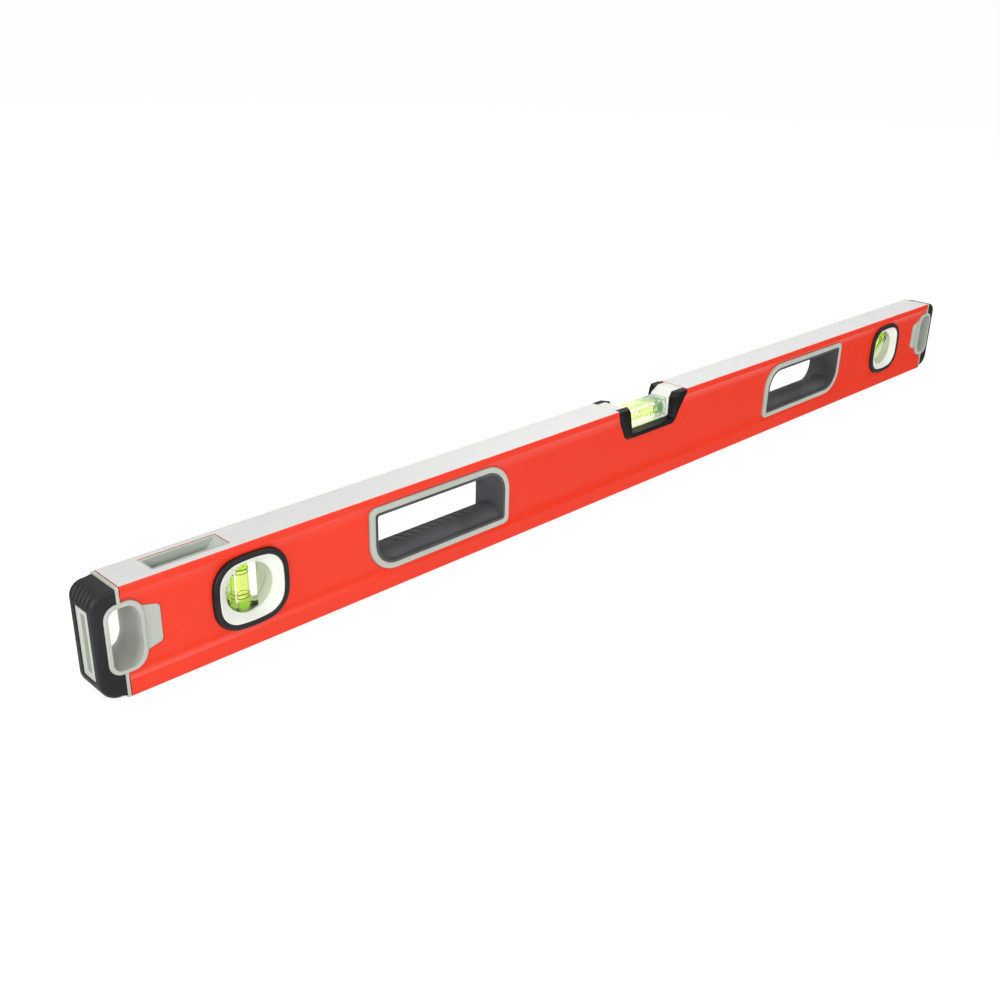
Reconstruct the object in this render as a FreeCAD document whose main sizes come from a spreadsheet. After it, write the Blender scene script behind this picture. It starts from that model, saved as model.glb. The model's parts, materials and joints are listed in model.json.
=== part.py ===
import FreeCAD, Part
import math
import os
import Sketcher

# Box-section spirit level, 900 mm long.
# Frame: origin at the middle of the underside, X along the level, -Y towards the front face, +Z up.
# Local frames: vial and handle modules are built round their own centre, end caps round the beam's end.

os.makedirs("parts", exist_ok=True)
doc = FreeCAD.newDocument("spirit_level")
sheet = doc.addObject("Spreadsheet::Sheet", "dims")
nodes = []
rows = [0]


class Size:
    """A length or angle that carries its spreadsheet expression."""

    def __init__(self, value, text):
        self.value = value
        self.text = text

    def __add__(self, other):
        other = size(other)
        return Size(self.value + other.value, f"({self.text} + {other.text})")

    def __radd__(self, other):
        return size(other) + self

    def __sub__(self, other):
        other = size(other)
        return Size(self.value - other.value, f"({self.text} - {other.text})")

    def __rsub__(self, other):
        return size(other) - self

    def __mul__(self, factor):
        return Size(self.value * factor, f"({self.text} * {factor})")

    def __truediv__(self, factor):
        return Size(self.value / factor, f"({self.text} / {factor})")

    def __neg__(self):
        return Size(-self.value, f"(0 - {self.text})")


def size(value):
    return value if isinstance(value, Size) else Size(float(value), str(float(value)))


def cell(alias, value):
    """Put one driving dimension in the spreadsheet."""
    rows[0] += 1
    place = f"B{rows[0]}"
    sheet.set(f"A{rows[0]}", alias.replace("_", " "))
    sheet.set(place, str(value))
    sheet.setAlias(place, alias)
    return Size(float(value), f"dims.{alias}")


def bind(thing, path, value):
    thing.setExpression(path, size(value).text)


# ---------------------------------------------------------------- driving dimensions

beam_length = cell("beam_length", 870)
beam_height = cell("beam_height", 65.6)
beam_half = cell("beam_half_depth", 13.2)
panel_half = cell("panel_half_depth", 11.6)
wall_inner = cell("wall_inner_half", 9.6)
plate = cell("plate_thickness", 3.2)
flange_low = cell("lower_flange_height", 10.2)
flange_high = cell("upper_flange_start", 60.95)
ramp = cell("panel_ramp_height", 3.8)
ramp_radius = cell("panel_ramp_radius", 16)
edge_radius = cell("beam_edge_radius", 0.9)
gap = cell("trim_gap", 0.35)
slide_gap = cell("slide_gap", 0.2)
axis_height = cell("opening_height", 35.9)

vial_x = cell("vial_distance", 357.3)
bezel_a = cell("bezel_half_width", 24.7)
bezel_b = cell("bezel_half_height", 22.95)
bezel_side = cell("bezel_side_radius", 75)
bezel_corner = cell("bezel_corner_radius", 16.5)
bezel_band = cell("bezel_band", 3.6)
bezel_proud = cell("bezel_proud", 1.1)
snap = cell("snap_flange", 1.2)
funnel_rim = cell("funnel_rim", 0.9)
funnel_step = cell("funnel_step", 0.7)
eye_radius = cell("eye_radius", 15.5)
eye_depth = cell("eye_depth", 3.4)
lip = cell("eye_lip", 1.2)
chamber_radius = cell("chamber_radius", 17)
seam_wide = cell("chamber_seam_half_width", 0.35)
seam_deep = cell("chamber_seam_depth", 1.2)
block_w = cell("vial_block_width", 14.4)
block_d = cell("vial_block_depth", 12.2)
block_l = cell("vial_block_length", 35)
bore = cell("vial_bore_radius", 4.05)
bore_end = cell("vial_bore_top", 15)
plug_l = cell("vial_plug_length", 3)
bubble_l = cell("vial_bubble_length", 7.5)
bubble_r = cell("vial_bubble_radius", 3.9)
ring_pitch = cell("ring_centre_distance", 7.8)
ring_pair = cell("ring_pair_spacing", 2.4)
ring_wide = cell("ring_line_width", 0.42)
ring_deep = cell("ring_line_depth", 0.2)
tilt = cell("diagonal_vial_angle", 45)

grip_x = cell("grip_distance", 213.1)
grip_a = cell("grip_half_length", 59.55)
grip_b = cell("grip_half_height", 22.55)
grip_big = cell("grip_large_radius", 20.5)
grip_small = cell("grip_small_radius", 4.9)
grip_band = cell("grip_band", 4.2)
grip_proud = cell("grip_proud", 0.7)
grip_round = cell("grip_frame_round", 1.3)
grip_lip = cell("grip_lip", 1.5)
grip_lip_back = cell("grip_lip_setback", 0.35)
crown = cell("grip_crown_height", 7)
crown_radius = cell("grip_crown_radius", 11.6)
slit_count = 10
slit_pitch = cell("grip_slit_pitch", 7.5)
slit_wide = cell("grip_slit_width", 1.4)
slit_deep = cell("grip_slit_depth", 1.3)
slit_long = cell("grip_slit_length", 10)
slit_turn = cell("grip_slit_angle", 38)

notch_top = cell("notch_half_width", 40.3)
notch_shoulder = cell("notch_shoulder_height", 62.5)
notch_foot_x = cell("notch_foot_half_width", 29.3)
notch_foot_z = cell("notch_foot_height", 40.6)
notch_round = cell("notch_foot_radius", 6)
notch_proud = cell("notch_frame_proud", 1.0)
face_top = cell("frame_face_half_width", 39.6)
face_shoulder = cell("frame_face_shoulder", 64)
face_foot_x = cell("frame_face_foot_half_width", 24)
face_foot_z = cell("frame_face_foot_height", 41.6)
face_round = cell("frame_face_foot_radius", 4)
mouth_x = cell("mouth_half_width", 28.6)
mouth_foot_x = cell("mouth_foot_half_width", 25.2)
mouth_top_x = cell("mouth_top_half_width", 31.5)
mouth_slope_z = cell("mouth_slope_height", 62.4)
mouth_foot_z = cell("mouth_foot_height", 45.2)
throat_x = cell("throat_half_width", 24.1)
throat_top_x = cell("throat_top_half_width", 27.8)
throat_slope_z = cell("throat_slope_height", 61.0)
throat_foot_z = cell("throat_foot_height", 46.5)
holder_half = cell("holder_half_depth", 8.4)
holder_foot = cell("holder_foot_height", 43.0)
bar_x = cell("bar_half_length", 23.5)
bar_y = cell("bar_half_depth", 6.6)
bar_low = cell("bar_underside_height", 47.4)
bar_high = cell("bar_top_height", 60.4)
bar_floor = cell("bar_floor_height", 45.8)
bar_ledge = cell("bar_ledge_width", 3)
tube_r = cell("level_tube_radius", 4.4)
tube_z = cell("level_tube_height", 52.9)
tube_left = cell("level_tube_left_end", 19)
tube_right = cell("level_tube_right_end", 14.5)
tube_plug = cell("level_tube_plug_length", 6.5)
level_ring = cell("level_ring_distance", 8)
level_pair = cell("level_ring_spacing", 3)
air_x = cell("level_bubble_half_length", 6)
air_y = cell("level_bubble_half_width", 3.2)
air_z = cell("level_bubble_half_height", 1.9)

tray_left = cell("tray_left", 413.4)
tray_right = cell("tray_right", 366.4)
tray_half = cell("tray_half_width", 7.5)
tray_deep = cell("tray_body_depth", 6.4)
tray_front = cell("tray_recess_front", 6.7)
tray_back = cell("tray_recess_back", 5.3)
tray_rim = cell("tray_end_rim", 1.1)
tray_lip = cell("tray_ramp_rim", 2.3)
tray_floor = cell("tray_recess_depth", 5)
tray_ramp = cell("tray_ramp_length", 4.2)
tray_slot = cell("tray_slot_width", 1.6)
tray_gap = cell("tray_gap", 0.65)
tray_fit = cell("tray_fit", 0.08)

cap_out = cell("cap_projection", 16.2)
cap_lip = cell("cap_lip", 2.3)
cap_gap = cell("cap_gap", 0.55)
cap_inset = cell("cap_inset", 0.05)
rubber_drop = cell("rubber_inset_top", 1.1)
rubber_side = cell("rubber_inset_side", 0.5)
cap_top_r = cell("cap_top_radius", 8.5)
cap_foot_r = cell("cap_foot_radius", 11)
cap_side_r = cell("cap_side_radius", 2.6)
rubber_skin = cell("rubber_skin", 2.2)
plug_deep = cell("cap_plug_depth", 16.8)
tongue_deep = cell("cap_tongue_depth", 21.9)
tongue_face = cell("cap_tongue_face", 11.9)
tongue_low = cell("cap_tongue_foot", 22.85)
tongue_high = cell("cap_tongue_top", 50.05)
tongue_slant = cell("cap_tongue_slant", 2.4)
tongue_root = cell("cap_tongue_root", 12.1)
hang_out = cell("hang_hole_outer", 8.1)
hang_in = cell("hang_hole_inner", 9.7)
hang_low = cell("hang_hole_foot", 17.2)
hang_high = cell("hang_hole_top", 53.9)
hang_belly = cell("hang_hole_belly", 3.6)
hang_ring = cell("hang_ring_band", 2.4)
hang_proud = cell("hang_ring_proud", 0.3)
window_half = cell("window_half_width", 7.2)
window_low = cell("window_foot", 11.6)
window_high = cell("window_top", 54.1)
window_sink = cell("window_sink", 0.9)
window_slot = cell("window_slot_half_width", 2.4)
window_band = cell("window_band", 3.8)
window_deep = cell("window_depth", 3.4)
groove_count = 5
ridge_pitch = cell("ridge_pitch", 3.6)
ridge_deep = cell("groove_depth", 0.75)
ridge_tube = cell("groove_tube_radius", 1.6)
ridge_swing = cell("groove_centre_setback", 4.2)
ridge_lean = 35
clear = cell("cutter_overrun", 3)
side_clear = cell("side_cutter_depth", 30)
doc.recompute()

# ---------------------------------------------------------------- building helpers


def body(name):
    return doc.addObject("PartDesign::Body", name)


def plane_of(part, role):
    return next(item for item in part.Origin.OriginFeatures if item.Role == role)


def sketch_on(part, role, name, offset=0):
    """New sketch on one of the body's own planes, moved along the plane's normal."""
    sketch = part.newObject("Sketcher::SketchObject", name)
    sketch.AttachmentSupport = [(plane_of(part, role), "")]
    sketch.MapMode = "FlatFace"
    bind(sketch, "AttachmentOffset.Base.z", offset)
    return sketch


def constrain(sketch, *rule):
    return sketch.addConstraint(Sketcher.Constraint(*rule))


def coordinate(sketch, kind, geo, pos, value):
    """Hold one coordinate of a point at a signed size."""
    if abs(value.value) < 1e-9:
        constrain(sketch, "PointOnObject", geo, pos, -2 if kind == "DistanceX" else -1)
        return
    if value.value > 0:
        index = constrain(sketch, kind, -1, 1, geo, pos, value.value)
        text = value.text
    else:
        index = constrain(sketch, kind, geo, pos, -1, 1, -value.value)
        text = (-value).text
    sketch.setExpression(f"Constraints[{index}]", text)


def hold(sketch, geo, pos, x, y):
    coordinate(sketch, "DistanceX", geo, pos, size(x))
    coordinate(sketch, "DistanceY", geo, pos, size(y))


def radius_of(sketch, geo, value):
    index = constrain(sketch, "Radius", geo, value.value)
    sketch.setExpression(f"Constraints[{index}]", value.text)


def outline(sketch, corners):
    """Closed outline through (x, y, radius) corners; radius 0 keeps a corner sharp."""
    corners = [(size(x), size(y), size(r)) for x, y, r in corners]
    points = [FreeCAD.Vector(x.value, y.value, 0) for x, y, r in corners]
    count = len(points)
    entry, leave, arcs = [], [], []
    for i, (x, y, r) in enumerate(corners):
        before = (points[i - 1] - points[i]).normalize()
        after = (points[(i + 1) % count] - points[i]).normalize()
        half = before.getAngle(after) / 2
        reach = r.value / math.tan(half)
        entry.append(points[i] + before * reach)
        leave.append(points[i] + after * reach)
        middle = (before + after).normalize() * (r.value / math.sin(half)) if r.value else None
        arcs.append(middle)
    lines = []
    for i in range(count):
        segment = Part.LineSegment(leave[i], entry[(i + 1) % count])
        lines.append(sketch.addGeometry(segment, False))
    for i, (x, y, r) in enumerate(corners):
        if arcs[i] is None:
            constrain(sketch, "Coincident", lines[i - 1], 2, lines[i], 1)
            hold(sketch, lines[i], 1, x, y)
            continue
        centre = points[i] + arcs[i]
        start, end = entry[i] - centre, leave[i] - centre
        left_turn = start.cross(end).z > 0
        first, last = (start, end) if left_turn else (end, start)
        circle = Part.Circle(centre, FreeCAD.Vector(0, 0, 1), r.value)
        low, high = math.atan2(first.y, first.x), math.atan2(last.y, last.x)
        arc = sketch.addGeometry(Part.ArcOfCircle(circle, low, high), False)
        constrain(sketch, "Tangent", lines[i - 1], 2, arc, 1 if left_turn else 2)
        constrain(sketch, "Tangent", lines[i], 1, arc, 2 if left_turn else 1)
        radius_of(sketch, arc, r)
        mark = sketch.addGeometry(Part.Point(points[i]), True)
        constrain(sketch, "PointOnObject", mark, 1, lines[i - 1])
        constrain(sketch, "PointOnObject", mark, 1, lines[i])
        hold(sketch, mark, 1, x, y)


def soft_square(sketch, a, b, side, corner):
    """Rounded square of eight arcs: bowed sides of radius `side`, corners of radius `corner`."""
    a, b, side, corner = size(a), size(b), size(side), size(corner)
    right = FreeCAD.Vector(a.value - side.value, 0, 0)
    top = FreeCAD.Vector(0, b.value - side.value, 0)
    reach = side.value - corner.value
    across = top - right
    middle = (right + top) * 0.5
    rise = math.sqrt(reach ** 2 - (across.Length / 2) ** 2)
    hub = middle + FreeCAD.Vector(-across.y, across.x, 0).normalize() * rise
    if hub.x < 0:
        hub = middle - FreeCAD.Vector(-across.y, across.x, 0).normalize() * rise
    lean_right = math.atan2((hub - right).y, (hub - right).x)
    lean_top = math.atan2((hub - top).y, (hub - top).x)
    turns = [
        (right, side, -lean_right, lean_right),
        (hub, corner, lean_right, lean_top),
        (top, side, lean_top, math.pi - lean_top),
        (FreeCAD.Vector(-hub.x, hub.y, 0), corner, math.pi - lean_top, math.pi - lean_right),
        (-right, side, math.pi - lean_right, math.pi + lean_right),
        (-hub, corner, math.pi + lean_right, math.pi + lean_top),
        (-top, side, math.pi + lean_top, 2 * math.pi - lean_top),
        (FreeCAD.Vector(hub.x, -hub.y, 0), corner, 2 * math.pi - lean_top, 2 * math.pi - lean_right),
    ]
    arcs = []
    for centre, r, low, high in turns:
        circle = Part.Circle(centre, FreeCAD.Vector(0, 0, 1), r.value)
        arcs.append(sketch.addGeometry(Part.ArcOfCircle(circle, low, high), False))
    for i, (centre, r, low, high) in enumerate(turns):
        constrain(sketch, "Tangent", arcs[i], 2, arcs[(i + 1) % 8], 1)
        radius_of(sketch, arcs[i], r)
    for index, sign in ((0, 1), (4, -1)):
        constrain(sketch, "PointOnObject", arcs[index], 3, -1)
        coordinate(sketch, "DistanceX", arcs[index], 3, (a - side) * sign)
    for index, sign in ((2, 1), (6, -1)):
        constrain(sketch, "PointOnObject", arcs[index], 3, -2)
        coordinate(sketch, "DistanceY", arcs[index], 3, (b - side) * sign)


def disc(sketch, r):
    ring = sketch.addGeometry(Part.Circle(FreeCAD.Vector(0, 0, 0), FreeCAD.Vector(0, 0, 1), r.value), False)
    constrain(sketch, "Coincident", ring, 3, -1, 1)
    radius_of(sketch, ring, r)


def pad(part, sketch, length, both=False, back=False):
    feature = part.newObject("PartDesign::Pad", "Pad")
    feature.Profile = sketch
    bind(feature, "Length", length)
    feature.SideType = "Symmetric" if both else "One side"
    feature.Reversed = back
    return feature


def pocket(part, sketch, length=None, back=False):
    """Pocket of a given depth, or through everything both ways."""
    feature = part.newObject("PartDesign::Pocket", "Pocket")
    feature.Profile = sketch
    if length is None:
        feature.Type = "ThroughAll"
        feature.SideType = "Symmetric"
    else:
        bind(feature, "Length", length)
        feature.Reversed = back
    return feature


def edges_on(shape, axis, value, low=None, high=None):
    """Names of the edges that lie in the plane axis = value, inside an optional box."""
    names = []
    for number, edge in enumerate(shape.Edges, 1):
        box = edge.BoundBox
        span = {"x": (box.XMin, box.XMax), "y": (box.YMin, box.YMax), "z": (box.ZMin, box.ZMax)}
        if max(abs(span[axis][0] - value), abs(span[axis][1] - value)) > 1e-4:
            continue
        middle = box.Center
        if low and (middle.x < low[0] or middle.y < low[1] or middle.z < low[2]):
            continue
        if high and (middle.x > high[0] or middle.y > high[1] or middle.z > high[2]):
            continue
        names.append(f"Edge{number}")
    return names


def dress(part, kind, names, amount):
    """Fillet or chamfer on edges of the body's current tip."""
    base = part.Tip
    feature = part.newObject(f"PartDesign::{kind}", kind)
    feature.Base = (base, names)
    bind(feature, "Radius" if kind == "Fillet" else "Size", amount)
    doc.recompute()
    return feature


def box(name, x, y, z, length, width, height):
    item = doc.addObject("Part::Box", name)
    for path, value in (("Length", length), ("Width", width), ("Height", height),
                        ("Placement.Base.x", x), ("Placement.Base.y", y), ("Placement.Base.z", z)):
        bind(item, path, value)
    return item


def rod(name, axis, x, y, z, r, length):
    """Cylinder along an axis from a start point."""
    item = doc.addObject("Part::Cylinder", name)
    turn = {"x": (FreeCAD.Vector(0, 1, 0), 90), "y": (FreeCAD.Vector(1, 0, 0), -90),
            "z": (FreeCAD.Vector(0, 0, 1), 0)}[axis]
    item.Placement = FreeCAD.Placement(FreeCAD.Vector(0, 0, 0), FreeCAD.Rotation(*turn))
    for path, value in (("Radius", r), ("Height", length), ("Placement.Base.x", x),
                        ("Placement.Base.y", y), ("Placement.Base.z", z)):
        bind(item, path, value)
    return item


def boolean(kind, name, base, tool):
    item = doc.addObject(f"Part::{kind}", name)
    item.Base = base
    item.Tool = tool
    item.Refine = True
    return item


def chain(kind, name, base, tools):
    for tool in tools:
        base = boolean(kind, name, base, tool)
    return base


def copy_of(item, name):
    """Second instance of a shape, linked to the first."""
    twin = doc.addObject("Part::Compound", name)
    twin.Links = [item]
    return twin


def node(item, label, x=0, z=0, turn_z=0, turn_y=0):
    """Name a finished sub-part and put it in its place."""
    item.Label = label
    spin = FreeCAD.Rotation(FreeCAD.Vector(0, 0, 1), turn_z)
    lean = FreeCAD.Rotation(FreeCAD.Vector(0, 1, 0), size(turn_y).value)
    item.Placement = FreeCAD.Placement(FreeCAD.Vector(0, 0, 0), spin.multiply(lean))
    bind(item, "Placement.Base.x", x)
    bind(item, "Placement.Base.z", z)
    nodes.append(item)
    return item


# ---------------------------------------------------------------- shared outlines


def bezel_outline(sketch, grow=0):
    soft_square(sketch, bezel_a + grow, bezel_b + grow, bezel_side + grow, bezel_corner + grow)


def grip_outline(sketch, shrink, mirror=1, small=None):
    """Handle outline: large corners at top right and bottom left, small ones opposite."""
    a, b = grip_a - shrink, grip_b - shrink
    big = grip_big - shrink
    little = small if small is not None else grip_small - shrink
    outline(sketch, [(a * mirror, b, big), (-a * mirror, b, little),
                     (-a * mirror, -b, big), (a * mirror, -b, little)])


def notch_outline(sketch, top, grow=0):
    """Trapezoid notch of the centre vial, open at the top."""
    wide, foot = notch_top + grow, notch_foot_x + grow
    outline(sketch, [(wide, top, 1), (wide, notch_shoulder, 3), (foot, notch_foot_z - grow, notch_round),
                     (-foot, notch_foot_z - grow, notch_round), (-wide, notch_shoulder, 3), (-wide, top, 1)])


def hang_outline(sketch, grow=0):
    """D-shaped hang hole of a cap, the belly towards the beam."""
    left, right = -hang_out - grow, hang_in + grow
    low, high = hang_low - grow, hang_high + grow
    step = size(8)
    outline(sketch, [(left, low, 5.5 + grow), (left, high, 5.5 + grow),
                     (right - hang_belly, high, 6.5 + grow), (right, high - step, 9 + grow),
                     (right, low + step, 9 + grow), (right - hang_belly, low, 6.5 + grow)])


def tongue_outline(sketch, grow=0):
    """Latch tongue beside the hang hole."""
    low, high, tip = tongue_low - grow, tongue_high + grow, tongue_deep + grow
    root, reach = tongue_root, tongue_root - 4.5
    outline(sketch, [(0, low - 4, 0), (reach, low - 4, 0), (root, low, 5), (tip, low + tongue_slant, 3),
                     (tip, high - tongue_slant, 3), (root, high, 5), (reach, high + 4, 0), (0, high + 4, 0)])


# ---------------------------------------------------------------- beam


def make_beam():
    part = body("beam")
    section = sketch_on(part, "YZ_Plane", "section", 0)
    half, panel = beam_half, panel_half
    right = [(half, 0, edge_radius), (half, flange_low, 0), (panel, flange_low + ramp, ramp_radius),
             (panel, flange_high - ramp, ramp_radius), (half, flange_high, 0), (half, beam_height, edge_radius)]
    left = [(-y, z, r) for y, z, r in reversed(right)]
    outline(section, right + left)
    pad(part, section, beam_length, both=True)
    hollow = sketch_on(part, "YZ_Plane", "hollow", 0)
    outline(hollow, [(wall_inner, plate, 1.5), (wall_inner, beam_height - plate, 1.5),
                     (-wall_inner, beam_height - plate, 1.5), (-wall_inner, plate, 1.5)])
    pocket(part, hollow)
    doc.recompute()
    notch = sketch_on(part, "XZ_Plane", "notch", 0)
    notch_outline(notch, beam_height + clear, gap)
    pocket(part, notch)
    slot = sketch_on(part, "XY_Plane", "tray_slot", beam_height)
    low, high, back = -tray_left - tray_fit, -tray_right + tray_gap, tray_half + tray_gap
    front = -tray_half - tray_fit
    outline(slot, [(low, front, 0.9), (high, front, 1.2), (high, back, 1.2), (low, back, 0.9)])
    pocket(part, slot, plate + 1)
    doc.recompute()
    shape = part
    for side, sign in (("left", -1), ("right", 1)):
        eye = body(f"eye_cutter_{side}")
        sketch = sketch_on(eye, "XZ_Plane", f"eye_{side}", 0)
        bezel_outline(sketch, gap)
        pad(eye, sketch, side_clear, both=True)
        bind(eye, "Placement.Base.x", vial_x * sign)
        bind(eye, "Placement.Base.z", axis_height)
        grip = body(f"grip_cutter_{side}")
        sketch = sketch_on(grip, "XZ_Plane", f"grip_{side}", 0)
        grip_outline(sketch, -gap, -sign)
        pad(grip, sketch, side_clear, both=True)
        bind(grip, "Placement.Base.x", grip_x * sign)
        bind(grip, "Placement.Base.z", axis_height)
        end = body(f"end_cutter_{side}")
        sketch = sketch_on(end, "XZ_Plane", f"end_ring_{side}", 0)
        hang_outline(sketch, hang_ring + slide_gap)
        pad(end, sketch, side_clear, both=True)
        sketch = sketch_on(end, "XZ_Plane", f"end_tongue_{side}", 0)
        tongue_outline(sketch, slide_gap)
        pad(end, sketch, side_clear, both=True)
        turn = 0 if sign < 0 else 180
        end.Placement = FreeCAD.Placement(FreeCAD.Vector(0, 0, 0), FreeCAD.Rotation(FreeCAD.Vector(0, 0, 1), turn))
        bind(end, "Placement.Base.x", beam_length * (sign / 2))
        shape = chain("Cut", "beam_cut", shape, [eye, grip, end])
    return node(shape, "beam_profile")


def make_tray():
    part = body("tray")
    plan = sketch_on(part, "XY_Plane", "tray_plan", beam_height)
    outline(plan, [(-tray_left, -tray_half, 0.85), (-tray_right, -tray_half, 0.85),
                   (-tray_right, tray_half, 0.85), (-tray_left, tray_half, 0.85)])
    pad(part, plan, tray_deep, back=True)
    well = sketch_on(part, "XZ_Plane", "tray_well", tray_front)
    left, right = -tray_left + tray_rim, -tray_right - tray_lip
    floor = beam_height - tray_floor
    outline(well, [(left, beam_height + clear, 0), (left, floor, 0.6), (right - tray_ramp, floor, 2),
                   (right, beam_height, 0), (right, beam_height + clear, 0)])
    pocket(part, well, tray_front + tray_back)
    slot = sketch_on(part, "XY_Plane", "tray_slit", floor)
    outline(slot, [(left + 0.6, tray_back - tray_slot, 0), (right - tray_ramp - 1, tray_back - tray_slot, 0),
                   (right - tray_ramp - 1, tray_back, 0), (left + 0.6, tray_back, 0)])
    pocket(part, slot, tray_deep)
    return node(part, "top_tray_insert")


# ---------------------------------------------------------------- end vials


def make_bezel(label, x, turn):
    """Rubber ring round a vial window, pressed into the wall cut-out."""
    part = body(label + "_body")
    front = beam_half + bezel_proud
    rim = sketch_on(part, "XZ_Plane", label + "_rim", wall_inner)
    bezel_outline(rim)
    pad(part, rim, front - wall_inner)
    flange = sketch_on(part, "XZ_Plane", label + "_flange", wall_inner)
    bezel_outline(flange, snap)
    pad(part, flange, 1, back=True)
    mouth = sketch_on(part, "XZ_Plane", label + "_mouth", 0)
    bezel_outline(mouth, -bezel_band)
    pocket(part, mouth)
    doc.recompute()
    dress(part, "Fillet", edges_on(part.Shape, "y", -front.value), 1.3)
    return node(part, label, x, axis_height, turn)


def make_housing(label, x, turn, lean):
    """Half of the white vial housing: funnel in front, chamber and block pocket behind."""
    part = body(label + "_body")
    front = beam_half + bezel_proud - funnel_step
    eye = beam_half - eye_depth
    shell = sketch_on(part, "XZ_Plane", label + "_shell", 0)
    bezel_outline(shell, -bezel_band)
    pad(part, shell, front)
    wide = sketch_on(part, "XZ_Plane", label + "_wide", front)
    bezel_outline(wide, -bezel_band - funnel_rim)
    narrow = sketch_on(part, "XZ_Plane", label + "_narrow", eye)
    soft_square(narrow, eye_radius, eye_radius, eye_radius + 0.2, eye_radius - 0.2)
    funnel = part.newObject("PartDesign::SubtractiveLoft", label + "_funnel")
    funnel.Profile = wide
    funnel.Sections = [narrow]
    sight = sketch_on(part, "XZ_Plane", label + "_sight", 0)
    disc(sight, eye_radius)
    pocket(part, sight)
    room = sketch_on(part, "XZ_Plane", label + "_room", 0)
    disc(room, chamber_radius)
    pocket(part, room, eye - lip, back=True)
    seam = sketch_on(part, "XZ_Plane", label + "_seam", 0)
    disc(seam, chamber_radius + seam_deep)
    pocket(part, seam, seam_wide, back=True)
    doc.recompute()
    seat = box(label + "_seat", -block_w / 2, -block_d / 2, -block_l / 2, block_w, block_d, block_l)
    holder = doc.addObject("Part::Compound", label + "_seat_turned")
    holder.Links = [seat]
    way = 1 if turn == 0 else -1
    holder.Placement = FreeCAD.Placement(FreeCAD.Vector(0, 0, 0),
                                         FreeCAD.Rotation(FreeCAD.Vector(0, 1, 0), size(lean).value * way))
    return node(boolean("Cut", label + "_cut", part, holder), label, x, axis_height, turn)


def ring_set(name, axis, places, r, x, z):
    """Thin rings that line a bore, as one compound."""
    rings = []
    for index, place in enumerate(places):
        start = (place - ring_wide / 2 + x, 0, z) if axis == "x" else (x, 0, place - ring_wide / 2 + z)
        outer = rod(f"{name}_outer_{index}", axis, *start, r + ring_deep, ring_wide)
        inner = rod(f"{name}_inner_{index}", axis, *start, r, ring_wide)
        rings.append(boolean("Cut", f"{name}_{index}", outer, inner))
    group = doc.addObject("Part::Compound", name)
    group.Links = rings
    return group


def make_vial(prefix, x, lean):
    """Acrylic block with its bore, liquid, air bubble, ring marks and plug."""
    low = -block_l / 2
    places = [ring_pitch * s + ring_pair * (t / 2) for s in (-1, 1) for t in (-1, 1)]
    rings = ring_set(prefix + "_rings", "z", places, bore, size(0), size(0))
    block = box(prefix + "_blank", -block_w / 2, -block_d / 2, low, block_w, block_d, block_l)
    drill = rod(prefix + "_drill", "z", 0, 0, low, bore, bore_end + block_l / 2)
    cut = chain("Cut", prefix + "_cut", block, [drill, rings])
    node(cut, prefix + "_vial_block", x, axis_height, 0, lean)
    node(copy_of(rings, prefix + "_ring_set"), prefix + "_ring_marks", x, axis_height, 0, lean)
    column = rod(prefix + "_column", "z", 0, 0, low + plug_l, bore, bore_end + block_l / 2 - plug_l)
    air = body(prefix + "_air")
    face = sketch_on(air, "XZ_Plane", prefix + "_air_section", 0)
    top = bore_end - 0.1
    outline(face, [(0, top, 0), (0, top - bubble_l, 0), (bubble_r, top - bubble_l, 3), (bubble_r, top, 1.4)])
    spin = air.newObject("PartDesign::Revolution", prefix + "_air_turn")
    spin.Profile = face
    spin.ReferenceAxis = (face, ["V_Axis"])
    spin.Angle = 360
    doc.recompute()
    liquid = boolean("Cut", prefix + "_fill", column, air)
    node(liquid, prefix + "_liquid", x, axis_height, 0, lean)
    node(copy_of(air, prefix + "_air_set"), prefix + "_bubble", x, axis_height, 0, lean)
    plug = rod(prefix + "_plug_rod", "z", 0, 0, low, bore, plug_l)
    node(copy_of(plug, prefix + "_plug_set"), prefix + "_plug", x, axis_height, 0, lean)


# ---------------------------------------------------------------- hand grips


def make_grip_frame(label, x, turn, mirror):
    """Hard plastic frame round a handle opening, with a snap flange behind the wall."""
    part = body(label + "_body")
    front = beam_half + grip_proud
    rim = sketch_on(part, "XZ_Plane", label + "_rim", wall_inner)
    grip_outline(rim, size(0), mirror)
    pad(part, rim, front - wall_inner)
    flange = sketch_on(part, "XZ_Plane", label + "_flange", wall_inner)
    grip_outline(flange, -snap, mirror)
    pad(part, flange, 1, back=True)
    mouth = sketch_on(part, "XZ_Plane", label + "_mouth", 0)
    grip_outline(mouth, grip_band, mirror, size(2))
    pocket(part, mouth)
    doc.recompute()
    dress(part, "Fillet", edges_on(part.Shape, "y", -front.value), grip_round)
    return node(part, label, x, axis_height, turn)


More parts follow.
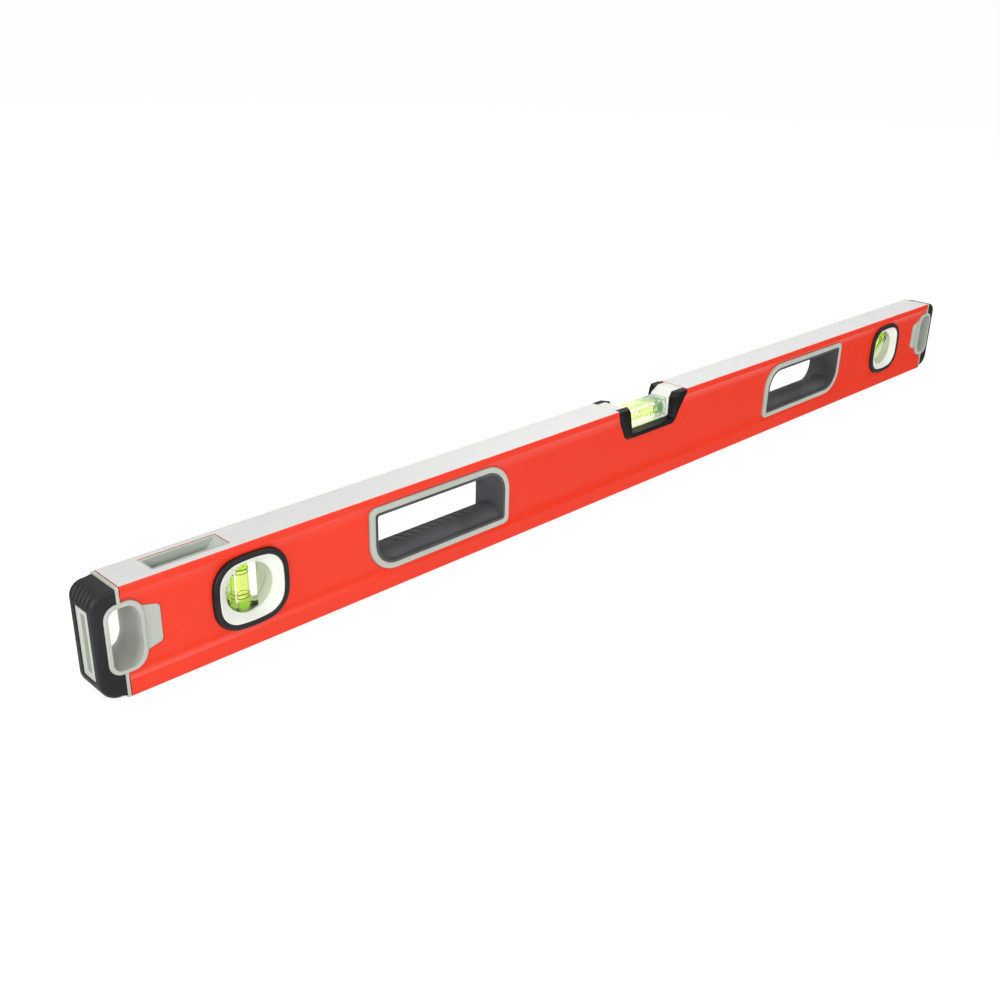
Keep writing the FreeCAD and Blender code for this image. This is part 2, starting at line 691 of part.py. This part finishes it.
def make_grip_sleeve(label, x, mirror):
    """Soft sleeve through the handle opening: thin lips, thick middle, crowned and slit underside."""
    length = (beam_half + grip_proud - grip_lip_back) * 2
    middle = (wall_inner - 1) * 2
    inner = grip_band + grip_lip
    part = body(label + "_body")
    tube = sketch_on(part, "XZ_Plane", label + "_tube", 0)
    grip_outline(tube, grip_band, mirror, size(2))
    pad(part, tube, length, both=True)
    collar = sketch_on(part, "XZ_Plane", label + "_collar", 0)
    grip_outline(collar, size(0.6), mirror)
    pad(part, collar, middle, both=True)
    mouth = sketch_on(part, "XZ_Plane", label + "_mouth", 0)
    grip_outline(mouth, inner, mirror, size(1.6))
    pocket(part, mouth)
    doc.recompute()
    limit = body(label + "_limit")
    face = sketch_on(limit, "XZ_Plane", label + "_limit_face", 0)
    grip_outline(face, grip_band + 0.2, mirror, size(2))
    pad(limit, face, length, both=True)
    heart = crown_radius - crown + grip_b - inner
    bar = rod(label + "_bar", "x", -grip_a, 0, -heart, crown_radius, grip_a * 2)
    hump = boolean("Common", label + "_hump", bar, limit)
    padded = boolean("Fuse", label + "_padded", part, hump)
    core = rod(label + "_core", "x", -grip_a, 0, -heart, crown_radius - slit_deep, grip_a * 2)
    blades = []
    for index in range(slit_count):
        blade = box(f"{label}_blade_{index}", 0, 0, 0, slit_wide, slit_long, crown)
        blade.Placement = FreeCAD.Placement(FreeCAD.Vector(0, 0, 0),
                                            FreeCAD.Rotation(FreeCAD.Vector(0, 0, 1), slit_turn.value))
        lead = slit_long.value / 2 * math.sin(math.radians(slit_turn.value))
        place = slit_pitch * (index - (slit_count - 1) / 2)
        bind(blade, "Placement.Base.x", place + lead)
        bind(blade, "Placement.Base.y", -slit_long * 0.4)
        bind(blade, "Placement.Base.z", -heart + crown_radius - slit_deep * 3)
        blades.append(blade)
    comb = doc.addObject("Part::Compound", label + "_comb")
    comb.Links = blades
    teeth = boolean("Cut", label + "_teeth", comb, core)
    return node(boolean("Cut", label + "_slit", padded, teeth), label, x, axis_height)


# ---------------------------------------------------------------- centre vial


def make_notch_frame(label, turn):
    """Black surround of the centre vial, its mouth narrowing to a throat."""
    part = body(label + "_body")
    front = beam_half + notch_proud
    top = beam_height - 0.3
    rim = sketch_on(part, "XZ_Plane", label + "_rim", holder_half)
    notch_outline(rim, top)
    pad(part, rim, panel_half - holder_half)
    base = sketch_on(part, "XZ_Plane", label + "_base", panel_half)
    notch_outline(base, top)
    face = sketch_on(part, "XZ_Plane", label + "_front", front)
    outline(face, [(face_top, top, 1), (face_top, face_shoulder, 0.3), (face_foot_x, face_foot_z, face_round),
                   (-face_foot_x, face_foot_z, face_round), (-face_top, face_shoulder, 0.3), (-face_top, top, 1)])
    draft = part.newObject("PartDesign::AdditiveLoft", label + "_draft")
    draft.Profile = base
    draft.Sections = [face]
    doc.recompute()
    dress(part, "Fillet", edges_on(part.Shape, "y", -front.value), 0.3)
    lift = size(4)
    slope = (mouth_top_x - mouth_x) / 2
    wide = sketch_on(part, "XZ_Plane", label + "_wide", front)
    outline(wide, [(mouth_top_x + slope, top + lift, 0), (mouth_x, mouth_slope_z, 1.5),
                   (mouth_foot_x, mouth_foot_z, 2.5), (-mouth_foot_x, mouth_foot_z, 2.5),
                   (-mouth_x, mouth_slope_z, 1.5), (-mouth_top_x - slope, top + lift, 0)])
    narrow = sketch_on(part, "XZ_Plane", label + "_narrow", holder_half)
    outline(narrow, [(throat_top_x + slope, top + lift, 0), (throat_x, throat_slope_z, 1.5),
                     (throat_x, throat_foot_z, 2), (-throat_x, throat_foot_z, 2),
                     (-throat_x, throat_slope_z, 1.5), (-throat_top_x - slope, top + lift, 0)])
    throat = part.newObject("PartDesign::SubtractiveLoft", label + "_throat")
    throat.Profile = wide
    throat.Sections = [narrow]
    doc.recompute()
    return node(part, label, 0, 0, turn)


def make_holder():
    """White carrier that fills the notch and seats the acrylic bar."""
    part = body("holder")
    top = beam_height - 0.1
    face = sketch_on(part, "XZ_Plane", "holder_face", 0)
    seat = bar_x - bar_ledge
    half = [(notch_top - 0.1, top, 0), (throat_top_x + 3.5, top, 2), (bar_x, throat_slope_z, 1), (bar_x, bar_low, 0),
            (seat, bar_low, 0), (seat, bar_floor, 0)]
    mirrored = [(-x, z, r) for x, z, r in reversed(half)]
    shoulder, foot = notch_top - 0.1, notch_foot_x - 0.2
    outline(face, half + mirrored + [(-shoulder, notch_shoulder, 3), (-foot, holder_foot, 3),
                                     (foot, holder_foot, 3), (shoulder, notch_shoulder, 3)])
    pad(part, face, holder_half * 2, both=True)
    return node(part, "centre_vial_holder")


def make_centre_vial():
    """Acrylic bar with a lengthwise bore, liquid, bubble, ring marks and plug."""
    places = [level_ring * s + level_pair * (t / 2) for s in (-1, 1) for t in (-1, 1)]
    rings = ring_set("centre_rings", "x", places, tube_r, size(0), tube_z)
    blank = box("bar_blank", -bar_x, -bar_y, bar_low, bar_x * 2, bar_y * 2, bar_high - bar_low)
    drill = rod("bar_drill", "x", -tube_left, 0, tube_z, tube_r, tube_left + bar_x)
    block = chain("Cut", "bar_cut", blank, [drill, rings])
    node(block, "centre_vial_block")
    node(copy_of(rings, "centre_ring_set"), "centre_ring_marks")
    air = doc.addObject("Part::Ellipsoid", "centre_air")
    for path, value in (("Radius1", air_z), ("Radius2", air_x), ("Radius3", air_y),
                        ("Placement.Base.z", tube_z + tube_r - air_z - 0.15)):
        bind(air, path, value)
    tight = rod("centre_tight", "x", -tube_left, 0, tube_z, tube_r - 0.1, tube_left + tube_right)
    bubble = boolean("Common", "centre_air_fit", air, tight)
    column = rod("centre_column", "x", -tube_left, 0, tube_z, tube_r, tube_left + tube_right)
    node(boolean("Cut", "centre_fill", column, bubble), "centre_liquid")
    node(copy_of(bubble, "centre_air_set"), "centre_bubble")
    plug = rod("centre_plug_rod", "x", tube_right, 0, tube_z, tube_r, tube_plug)
    node(copy_of(plug, "centre_plug_set"), "centre_plug")


# ---------------------------------------------------------------- end caps


def cap_outline(sketch, start, end, inset):
    """Side view of the cap between two distances from the beam's end, rounded at the outer end."""
    low, high = rubber_drop + inset, beam_height - rubber_drop - inset
    outline(sketch, [(start, low, 0), (start, high, 0), (end, high, cap_top_r - inset),
                     (end, low, cap_foot_r - inset)])


def make_rubber_outer(label):
    """Outer body of the cap's soft skin, its long edges opening out to the rounded nose."""
    part = body(label + "_skin")
    face = sketch_on(part, "XZ_Plane", label + "_face", 0)
    start, end = -cap_lip - 0.05, -cap_out
    cap_outline(face, start, end, size(0))
    pad(part, face, (beam_half - rubber_side) * 2, both=True)
    doc.recompute()
    soft = doc.addObject("Part::Fillet", label + "_soft")
    soft.Base = part
    edges = []
    width = (beam_half - rubber_side).value
    for number, edge in enumerate(part.Shape.Edges, 1):
        bounds = edge.BoundBox
        if abs(abs(bounds.Center.y) - width) > 1e-4 or bounds.XMin > start.value - 0.5:
            continue
        if bounds.XMax > start.value - 0.5:
            near, far = edge.Vertexes[0].X, edge.Vertexes[-1].X
            small, large = edge_radius.value, cap_side_r.value
            edges.append((number, small, large) if near > far else (number, large, small))
        else:
            edges.append((number, cap_side_r.value, cap_side_r.value))
    soft.Edges = edges
    doc.recompute()
    return soft


def core_block(label):
    """Hard core of the cap behind the rubber, without its ring, window or hole."""
    part = body(label + "_core")
    start, end = -cap_lip, -cap_out + rubber_skin
    face = sketch_on(part, "XZ_Plane", label + "_core_face", 0)
    cap_outline(face, start + 0.5, end, rubber_skin)
    pad(part, face, (beam_half - rubber_side - rubber_skin) * 2, both=True)
    return part


def prism_y(label, draw, half, *numbers):
    part = body(label)
    sketch = sketch_on(part, "XZ_Plane", label + "_face", 0)
    draw(sketch, *numbers)
    pad(part, sketch, half * 2, both=True)
    return part


def window_block(label, half, shrink, near, far):
    """Upright rectangular block at the cap's end face, between two distances from the beam's end."""
    part = body(label)
    sketch = sketch_on(part, "YZ_Plane", label + "_face", -near)
    low, high, corner = window_low + shrink, window_high - shrink, 1.2
    outline(sketch, [(-half, low, corner), (half, low, corner), (half, high, corner), (-half, high, corner)])
    pad(part, sketch, near - far)
    return part


def groove_cutters(label):
    """Soft grooves across the cap's top rounding, shallower towards both ends."""
    lean = math.radians(ridge_lean)
    centre_x = -cap_out + cap_top_r + ridge_swing * math.cos(lean)
    centre_z = beam_height - rubber_drop - cap_top_r - ridge_swing * math.sin(lean)
    reach = cap_top_r + ridge_swing - ridge_deep + ridge_tube
    cutters = []
    for index in range(groove_count):
        place = ridge_pitch * (index - (groove_count - 1) / 2)
        ring = doc.addObject("Part::Torus", f"{label}_groove_ring_{index}")
        ring.Placement = FreeCAD.Placement(FreeCAD.Vector(0, 0, 0), FreeCAD.Rotation(FreeCAD.Vector(1, 0, 0), 90))
        for path, value in (("Radius1", reach), ("Radius2", ridge_tube), ("Placement.Base.x", centre_x),
                            ("Placement.Base.y", place), ("Placement.Base.z", centre_z)):
            bind(ring, path, value)
        zone = box(f"{label}_groove_zone_{index}", -cap_out - clear, place - ridge_tube, window_high + 0.6,
                   cap_out - cap_lip + clear - 1, ridge_tube * 2, cap_top_r + clear)
        cutters.append(boolean("Common", f"{label}_groove_{index}", ring, zone))
    return cutters


def make_cap(side, x, turn):
    rubber, core = f"{side}_cap_rubber", f"{side}_cap_core"
    ring_half = beam_half + hang_proud
    ring = prism_y(core + "_ring", hang_outline, ring_half, hang_ring)
    doc.recompute()
    dress(ring, "Fillet", edges_on(ring.Shape, "y", -ring_half.value), 0.8)
    dress(ring, "Fillet", edges_on(ring.Shape, "y", ring_half.value), 0.8)
    hole = prism_y(core + "_hole", hang_outline, ring_half + clear)
    flange = body(core + "_flange")
    face = sketch_on(flange, "YZ_Plane", core + "_flange_face", -cap_gap)
    low, high, half = cap_inset, beam_height - cap_inset, beam_half - cap_inset
    outline(face, [(half, low, edge_radius), (half, high, edge_radius), (-half, high, edge_radius),
                   (-half, low, edge_radius)])
    pad(flange, face, cap_lip - cap_gap, back=True)
    plug = body(core + "_plug")
    face = sketch_on(plug, "YZ_Plane", core + "_plug_face", -cap_gap - 0.1)
    fit = wall_inner - slide_gap
    low, high = plate + slide_gap, beam_height - plate - slide_gap
    outline(face, [(fit, low, 1.6), (fit, high, 1.6), (-fit, high, 1.6), (-fit, low, 1.6)])
    pad(plug, face, plug_deep)
    tongue = prism_y(core + "_tongue", tongue_outline, tongue_face, 0)
    doc.recompute()
    dress(tongue, "Fillet", edges_on(tongue.Shape, "y", -tongue_face.value), 0.5)
    dress(tongue, "Fillet", edges_on(tongue.Shape, "y", tongue_face.value), 0.5)
    back = cap_out - rubber_skin - 0.5
    boss = window_block(core + "_boss", window_half, size(0), cap_out - window_sink, back)
    way = window_block(rubber + "_way", window_half + 0.1, size(-0.1), cap_out + 1, back)
    inner = core_block(core)
    skin = chain("Cut", rubber + "_shell", make_rubber_outer(rubber),
                 [copy_of(inner, rubber + "_room"), copy_of(ring, rubber + "_ring_way"), way] + groove_cutters(rubber))
    node(skin, rubber, x, 0, turn)
    slot = window_block(core + "_slot", window_slot, window_band, cap_out + 1, cap_out - window_deep)
    solid = chain("Fuse", core + "_sum", inner, [flange, plug, ring, tongue, boss])
    solid = chain("Cut", core + "_open", solid, [hole, slot])
    node(solid, core, x, 0, turn)


# ---------------------------------------------------------------- assembly

make_beam()
make_tray()
for side, sign, lean in (("plumb", -1, size(0)), ("diagonal", 1, tilt)):
    make_bezel(f"{side}_bezel_front", vial_x * sign, 0)
    make_bezel(f"{side}_bezel_back", vial_x * sign, 180)
    make_housing(f"{side}_housing_front", vial_x * sign, 0, lean)
    make_housing(f"{side}_housing_back", vial_x * sign, 180, lean)
    make_vial(side, vial_x * sign, lean)
for side, sign in (("left", -1), ("right", 1)):
    make_grip_frame(f"{side}_grip_frame_front", grip_x * sign, 0, -sign)
    make_grip_frame(f"{side}_grip_frame_back", grip_x * sign, 180, sign)
    make_grip_sleeve(f"{side}_grip_sleeve", grip_x * sign, -sign)
make_notch_frame("centre_frame_front", 0)
make_notch_frame("centre_frame_back", 180)
make_holder()
make_centre_vial()
make_cap("left", -beam_length / 2, 0)
make_cap("right", beam_length / 2, 180)
doc.recompute()

# ---------------------------------------------------------------- checks and export

for item in doc.Objects:
    if "Invalid" in item.State or "Error" in item.State:
        raise RuntimeError(f"{item.Label} failed: {item.State}")
for item in nodes:
    if item.Shape.isNull() or not item.Shape.isValid():
        raise RuntimeError(f"{item.Label} has no valid shape")
    bounds = item.Shape.optimalBoundingBox(False, False)
    print(f"{item.Label:26s} solids {len(item.Shape.Solids)} volume {item.Shape.Volume:10.1f} "
          f"x {bounds.XMin:8.2f} {bounds.XMax:8.2f} y {bounds.YMin:7.2f} {bounds.YMax:7.2f} "
          f"z {bounds.ZMin:6.2f} {bounds.ZMax:6.2f}")
    item.Shape.exportStep(f"parts/{item.Label}.step")
print(len(nodes), "nodes")
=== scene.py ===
import json
import math

import bpy
from mathutils import Euler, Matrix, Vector


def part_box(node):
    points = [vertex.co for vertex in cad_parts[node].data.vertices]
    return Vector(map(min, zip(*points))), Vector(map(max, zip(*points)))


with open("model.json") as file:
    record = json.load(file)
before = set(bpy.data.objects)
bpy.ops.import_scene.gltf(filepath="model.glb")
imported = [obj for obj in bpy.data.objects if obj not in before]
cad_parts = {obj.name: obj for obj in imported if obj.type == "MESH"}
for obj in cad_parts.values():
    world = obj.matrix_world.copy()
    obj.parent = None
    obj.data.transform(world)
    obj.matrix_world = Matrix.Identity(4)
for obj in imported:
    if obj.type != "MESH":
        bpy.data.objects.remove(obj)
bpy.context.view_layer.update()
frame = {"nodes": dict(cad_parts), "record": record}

HALF_DEPTH = 0.0132
TOP = 0.0656
MILLED_SKIN = 0.00006
PAINTED_EDGE = 0.0007
ACRYLIC_IOR = 1.49
LIQUID_IOR = 1.003
AIR_IOR = 1.3
ACRYLIC_TO_LIQUID = 1.09
STAGE_SIZE = 400


# ---------------------------------------------------------------- node helpers


class Nodes:
    """Short way to write a material's node tree."""

    def __init__(self, name):
        self.material = bpy.data.materials.new(name)
        self.material.use_nodes = True
        self.tree = self.material.node_tree
        self.shader = self.tree.nodes["Principled BSDF"]
        self.output = self.tree.nodes["Material Output"]
        self.place = self.add("ShaderNodeTexCoord").outputs["Object"]

    def add(self, kind, **settings):
        made = self.tree.nodes.new(kind)
        for key, value in settings.items():
            setattr(made, key, value)
        return made

    def link(self, source, target):
        if hasattr(source, "is_output"):
            self.tree.links.new(source, target)
        else:
            target.default_value = source

    def set(self, **inputs):
        for key, value in inputs.items():
            self.link(value, self.shader.inputs[key.replace("_", " ")])

    def math(self, operation, a, b=0.0, clamp=False):
        made = self.add("ShaderNodeMath", operation=operation, use_clamp=clamp)
        self.link(a, made.inputs[0])
        self.link(b, made.inputs[1])
        return made.outputs[0]

    def noise(self, scale, detail=3.0, stretch=(1, 1, 1), rough=0.5):
        mapped = self.add("ShaderNodeMapping")
        self.link(self.place, mapped.inputs["Vector"])
        mapped.inputs["Scale"].default_value = stretch
        made = self.add("ShaderNodeTexNoise")
        self.link(mapped.outputs[0], made.inputs["Vector"])
        made.inputs["Scale"].default_value = scale
        made.inputs["Detail"].default_value = detail
        made.inputs["Roughness"].default_value = rough
        return made.outputs["Fac"]

    def ramp(self, value, low, high, out_low=0.0, out_high=1.0):
        made = self.add("ShaderNodeMapRange")
        self.link(value, made.inputs["Value"])
        for key, number in (("From Min", low), ("From Max", high), ("To Min", out_low), ("To Max", out_high)):
            made.inputs[key].default_value = number
        return made.outputs["Result"]

    def mix(self, factor, first, second):
        made = self.add("ShaderNodeMix", data_type="RGBA")
        self.link(factor, made.inputs["Factor"])
        self.link(first, made.inputs["A"])
        self.link(second, made.inputs["B"])
        return made.outputs["Result"]

    def blend(self, kind, factor, first, second):
        made = self.add("ShaderNodeMix", data_type=kind)
        self.link(factor, made.inputs["Factor"])
        self.link(first, made.inputs["A"])
        self.link(second, made.inputs["B"])
        return made.outputs["Result"]

    def bump(self, height, distance, strength=1.0):
        made = self.add("ShaderNodeBump")
        self.link(height, made.inputs["Height"])
        made.inputs["Distance"].default_value = distance
        made.inputs["Strength"].default_value = strength
        return made.outputs["Normal"]

    def axis(self, source, name):
        made = self.add("ShaderNodeSeparateXYZ")
        self.link(source, made.inputs[0])
        return made.outputs[name]


def srgb(r, g, b):
    """Linear colour from 8-bit sRGB values."""
    def linear(value):
        value /= 255
        return value / 12.92 if value <= 0.04045 else ((value + 0.055) / 1.055) ** 2.4
    return (linear(r), linear(g), linear(b), 1.0)


# ---------------------------------------------------------------- materials


def painted_profile():
    """Red powder coat; the top strip is machined back to bare aluminium."""
    n = Nodes("painted_profile")
    normal_up = n.axis(n.add("ShaderNodeNewGeometry").outputs["Normal"], "Z")
    height = n.axis(n.place, "Z")
    across = n.math("ABSOLUTE", n.axis(n.place, "Y"))
    level = n.math("GREATER_THAN", height, TOP - MILLED_SKIN)
    facing = n.math("GREATER_THAN", normal_up, 0.97)
    inside = n.math("LESS_THAN", across, HALF_DEPTH - PAINTED_EDGE)
    bare = n.math("MULTIPLY", n.math("MULTIPLY", level, facing), inside)
    cloud = n.noise(9.0, 2.0)
    red = n.mix(n.ramp(cloud, 0.3, 0.7), RED_DARK, RED_LIGHT)
    brushed = n.noise(220.0, 3.0, (0.25, 9.0, 9.0))
    metal = n.mix(n.ramp(brushed, 0.3, 0.7), METAL_DARK, METAL_LIGHT)
    n.set(Base_Color=n.mix(bare, red, metal))
    n.set(Metallic=n.math("MULTIPLY", bare, 0.45))
    paint_rough = n.ramp(n.noise(60.0, 3.0), 0.3, 0.7, 0.27, 0.32)
    metal_rough = n.ramp(brushed, 0.3, 0.7, 0.38, 0.46)
    n.set(Roughness=n.blend("FLOAT", bare, paint_rough, metal_rough))
    n.set(Specular_IOR_Level=0.42)
    peel = n.bump(n.noise(900.0, 1.0), 0.00001, 0.05)
    lines = n.bump(brushed, 0.00001, 0.25)
    n.set(Normal=n.blend("VECTOR", bare, peel, lines))
    return n.material


def moulded(name, dark, light, rough, grain=0.00001, grain_scale=2400.0, gloss=0.3, painted_glow=0.0):
    """Moulded plastic or rubber: slight colour drift, fine texture and uneven gloss, and optionally a painted
    glow: emission in its own colour, though the part is no lamp.
    """
    n = Nodes(name)
    colour = n.mix(n.ramp(n.noise(35.0, 4.0), 0.35, 0.65), dark, light)
    n.set(Base_Color=colour)
    n.set(Roughness=n.ramp(n.noise(90.0, 3.0), 0.3, 0.7, rough - 0.04, rough + 0.05))
    n.set(Normal=n.bump(n.noise(grain_scale, 3.0), grain, 0.4))
    n.set(Specular_IOR_Level=gloss)
    # Painted glow: the part emits light in its own colour though it is no lamp.
    if painted_glow:
        n.set(Emission_Color=colour, Emission_Strength=painted_glow)
    return n.material


def clear(name, colour, ior, cast, painted_glow=0.0, painted_glow_colour=(1, 1, 1, 1), frost=None):
    """Clear acrylic or liquid with a faint waviness; light passes on through it, tinted by `cast`, and it may
    carry a painted glow: emission though it is no lamp.
    """
    n = Nodes(name)
    n.set(Base_Color=colour, Transmission_Weight=1.0)
    n.set(IOR=ior(n) if callable(ior) else ior)
    polish = n.ramp(n.noise(120.0, 2.0), 0.3, 0.7, 0.0, 0.02)
    n.set(Roughness=n.math("ADD", polish, frost(n)) if frost else polish)
    n.set(Normal=n.bump(n.noise(180.0, 1.0), 0.00001, 0.2))
    # Painted glow: emission that brightens the clear part though it is no lamp.
    n.set(Emission_Color=painted_glow_colour, Emission_Strength=painted_glow)
    through = n.add("ShaderNodeBsdfTransparent")
    through.inputs["Color"].default_value = cast
    either = n.add("ShaderNodeMixShader")
    n.link(n.add("ShaderNodeLightPath").outputs["Is Shadow Ray"], either.inputs[0])
    n.link(n.shader.outputs[0], either.inputs[1])
    n.link(through.outputs[0], either.inputs[2])
    n.link(either.outputs[0], n.output.inputs["Surface"])
    return n.material


def bore_step(centre, along, reach):
    """Refraction of an acrylic block: full outside, and the small step to liquid close to its bore."""
    def build(n):
        off = n.add("ShaderNodeVectorMath", operation="SUBTRACT")
        n.link(n.place, off.inputs[0])
        off.inputs[1].default_value = centre
        straight = n.add("ShaderNodeVectorMath", operation="CROSS_PRODUCT")
        n.link(off.outputs[0], straight.inputs[0])
        straight.inputs[1].default_value = along
        size = n.add("ShaderNodeVectorMath", operation="LENGTH")
        n.link(straight.outputs[0], size.inputs[0])
        outside = n.math("GREATER_THAN", size.outputs["Value"], reach)
        return n.ramp(outside, 0.0, 1.0, ACRYLIC_TO_LIQUID, ACRYLIC_IOR)
    return build


def milky_top(n):
    """Haze on the upward face of the centre block."""
    up = n.axis(n.add("ShaderNodeNewGeometry").outputs["Normal"], "Z")
    return n.math("MULTIPLY", n.math("GREATER_THAN", up, 0.9), 0.3)


RED_DARK, RED_LIGHT = (0.71, 0.025, 0.004, 1.0), (0.74, 0.030, 0.006, 1.0)
METAL_DARK, METAL_LIGHT = (0.665, 0.665, 0.65, 1.0), (0.745, 0.745, 0.73, 1.0)
ACRYLIC = (0.985, 1.0, 0.955, 1.0)
CENTRE_ACRYLIC = (0.975, 0.998, 0.935, 1.0)

MATERIALS = {
    "painted_profile": painted_profile(),
    "grey_plastic": moulded("grey_plastic", srgb(166, 172, 163), srgb(174, 180, 171), 0.46),
    "cap_plastic": moulded("cap_plastic", srgb(167, 171, 162), srgb(174, 178, 169), 0.46),
    "black_rubber": moulded("black_rubber", srgb(25, 26, 27), srgb(33, 34, 35), 0.48, gloss=0.3),
    "grip_rubber": moulded("grip_rubber", srgb(66, 66, 67), srgb(80, 80, 82), 0.5, 0.00002, gloss=0.25),
    "black_plastic": moulded("black_plastic", srgb(14, 14, 15), srgb(20, 20, 21), 0.34, gloss=0.2),
    "white_plastic": moulded("white_plastic", srgb(214, 217, 207), srgb(222, 224, 215), 0.42),
    "clear_acrylic": clear("clear_acrylic", ACRYLIC, ACRYLIC_IOR, (0.98, 1.0, 0.94, 1.0)),
    # The liquid's 0.1 emission is painted glow standing in for its fluorescence under the studio light.
    "vial_liquid": clear("vial_liquid", (0.83, 0.975, 0.13, 1.0), LIQUID_IOR, (0.86, 0.98, 0.45, 1.0), 0.1,
                         (0.72, 1.0, 0.06, 1.0)),
    "air_bubble": clear("air_bubble", (1.0, 1.0, 1.0, 1.0), AIR_IOR, (1.0, 1.0, 1.0, 1.0)),
    "vial_plug": moulded("vial_plug", srgb(4, 122, 50), srgb(10, 136, 60), 0.35),
    "mark_ink": moulded("mark_ink", srgb(12, 14, 10), srgb(18, 20, 14), 0.5, gloss=0.1),
}


def block_material(node, lean, colour, painted_glow=0.0, frost=None):
    """Acrylic for one vial block, its bore axis taken from the block's box and its lean in the x-z plane, with
    an optional painted glow.
    """
    low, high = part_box(node)
    centre = [(a + b) / 2 for a, b in zip(low, high)]
    along = (math.sin(lean), 0.0, math.cos(lean))
    if node == "centre_vial_block":
        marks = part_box("centre_ring_marks")
        centre[2] = (marks[0][2] + marks[1][2]) / 2
    reach = BORE_REACH[node]
    return clear(node + "_acrylic", colour, bore_step(centre, along, reach), (0.96, 1.0, 0.9, 1.0), painted_glow,
                 (0.95, 1.0, 0.85, 1.0), frost)


BORE_REACH = {"plumb_vial_block": 0.00435, "diagonal_vial_block": 0.00435, "centre_vial_block": 0.0047}
OVERRIDES = {
    "plumb_vial_block": block_material("plumb_vial_block", 0.0, ACRYLIC),
    "diagonal_vial_block": block_material("diagonal_vial_block", math.radians(45), ACRYLIC),
    # The centre block's 0.12 emission is painted glow; the acrylic block is no lamp.
    "centre_vial_block": block_material("centre_vial_block", math.radians(90), CENTRE_ACRYLIC, 0.12, milky_top),
}
# The pale plugs carry a painted glow of 0.05: emission in their own colour.
PALE_PLUG = moulded("vial_plug_pale", srgb(196, 222, 120), srgb(206, 230, 134), 0.3, painted_glow=0.05)
OVERRIDES["plumb_plug"] = OVERRIDES["diagonal_plug"] = PALE_PLUG

# The centre liquid's 0.06 emission is painted glow standing in for its fluorescence.
CENTRE_LIQUID = clear("centre_vial_liquid", (0.86, 0.97, 0.42, 1.0), LIQUID_IOR, (0.9, 1.0, 0.68, 1.0), 0.06,
                      (0.85, 1.0, 0.3, 1.0))
OVERRIDES["centre_liquid"] = CENTRE_LIQUID

slots = {entry["node"]: entry["material_slot"] for entry in frame["record"]["subparts"]}
for name, cad in frame["nodes"].items():
    cad.data.materials.clear()
    cad.data.materials.append(OVERRIDES.get(name) or MATERIALS[slots[name]])


# ---------------------------------------------------------------- stage, lights and camera


def stage_floor():
    """White table that glows a little; it is left out of reflections, which see a dimmer studio."""
    bpy.ops.mesh.primitive_plane_add(size=STAGE_SIZE, location=(0, 0, 0))
    floor = bpy.context.object
    floor.name = "stage_floor"
    n = Nodes("stage_floor")
    n.set(Base_Color=(0.35, 0.35, 0.35, 1.0), Roughness=0.9, Specular_IOR_Level=0.1)
    n.set(Emission_Color=(1.0, 1.0, 1.0, 1.0), Emission_Strength=0.73)
    floor.data.materials.append(n.material)
    floor.visible_glossy = False


def stage_wall():
    """White wall past the camera's clip distance: only rays that have gone through clear parts see it."""
    bpy.ops.mesh.primitive_cylinder_add(
        vertices=64, radius=190, depth=160, end_fill_type="NOTHING", location=(0, 0, 79)
    )
    wall = bpy.context.object
    wall.name = "stage_wall"
    n = Nodes("stage_wall")
    n.set(Base_Color=(0.0, 0.0, 0.0, 1.0), Roughness=1.0, Specular_IOR_Level=0.0)
    n.set(Emission_Color=(1.0, 1.0, 1.0, 1.0), Emission_Strength=1.0)
    wall.data.materials.append(n.material)
    wall.visible_diffuse = wall.visible_glossy = wall.visible_shadow = False


def area_light(name, place, target, size, power):
    light = bpy.data.lights.new(name, "AREA")
    light.shape = "RECTANGLE"
    light.size, light.size_y = size
    light.energy = power
    holder = bpy.data.objects.new(name, light)
    holder.location = place
    holder.rotation_euler = (Vector(target) - Vector(place)).to_track_quat("-Z", "Y").to_euler()
    bpy.context.scene.collection.objects.link(holder)


def world_light(steps):
    """Grey studio whose brightness depends on the height of the direction, from -1 (down) to 1 (up)."""
    world = bpy.data.worlds.new("studio")
    world.use_nodes = True
    tree = world.node_tree
    place = tree.nodes.new("ShaderNodeTexCoord")
    split = tree.nodes.new("ShaderNodeSeparateXYZ")
    tree.links.new(place.outputs["Generated"], split.inputs[0])
    height = tree.nodes.new("ShaderNodeMapRange")
    tree.links.new(split.outputs["Z"], height.inputs["Value"])
    height.inputs["From Min"].default_value = -1.0
    ramp = tree.nodes.new("ShaderNodeValToRGB")
    tree.links.new(height.outputs["Result"], ramp.inputs["Fac"])
    while len(ramp.color_ramp.elements) < len(steps):
        ramp.color_ramp.elements.new(0.5)
    for element, (step, value) in zip(ramp.color_ramp.elements, steps):
        element.position = (step + 1) / 2
        element.color = (value, value, value, 1)
    tree.links.new(ramp.outputs["Color"], tree.nodes["Background"].inputs["Color"])
    bpy.context.scene.world = world


stage_floor()
stage_wall()
world_light([
    (-1.0, 1.0), (-0.8, 0.95), (-0.5, 0.75), (-0.3, 0.08),
    (0.2, 0.2), (0.5, 0.8), (1.0, 0.75),
])
area_light("softbox_front", (0.2, -1.9, 0.5), (0.1, 0, 0), (1.0, 0.8), 9.5)
area_light("key_left_front", (-1.4, -1.3, 0.8), (-0.3, 0, 0), (0.9, 0.8), 11.5)
area_light("key_left", (-1.8, -0.1, 0.5), (-0.4, 0, 0), (1.0, 1.0), 15)
area_light("top_right", (0.9, 0.3, 1.3), (0.2, 0, 0), (1.4, 1.0), 11)

camera_data = bpy.data.cameras.new("camera")
camera_data.lens = 41.829
camera_data.sensor_width = 36
camera_data.clip_start = 0.01
camera = bpy.data.objects.new("camera", camera_data)
camera.location = (-0.66754, -0.51392, 0.35024)
camera.rotation_euler = Euler([math.radians(a) for a in (65.906, -1.1939, -44.7291)], "XYZ")
bpy.context.scene.collection.objects.link(camera)
bpy.context.scene.camera = camera
bpy.context.scene.view_settings.view_transform = "Standard"
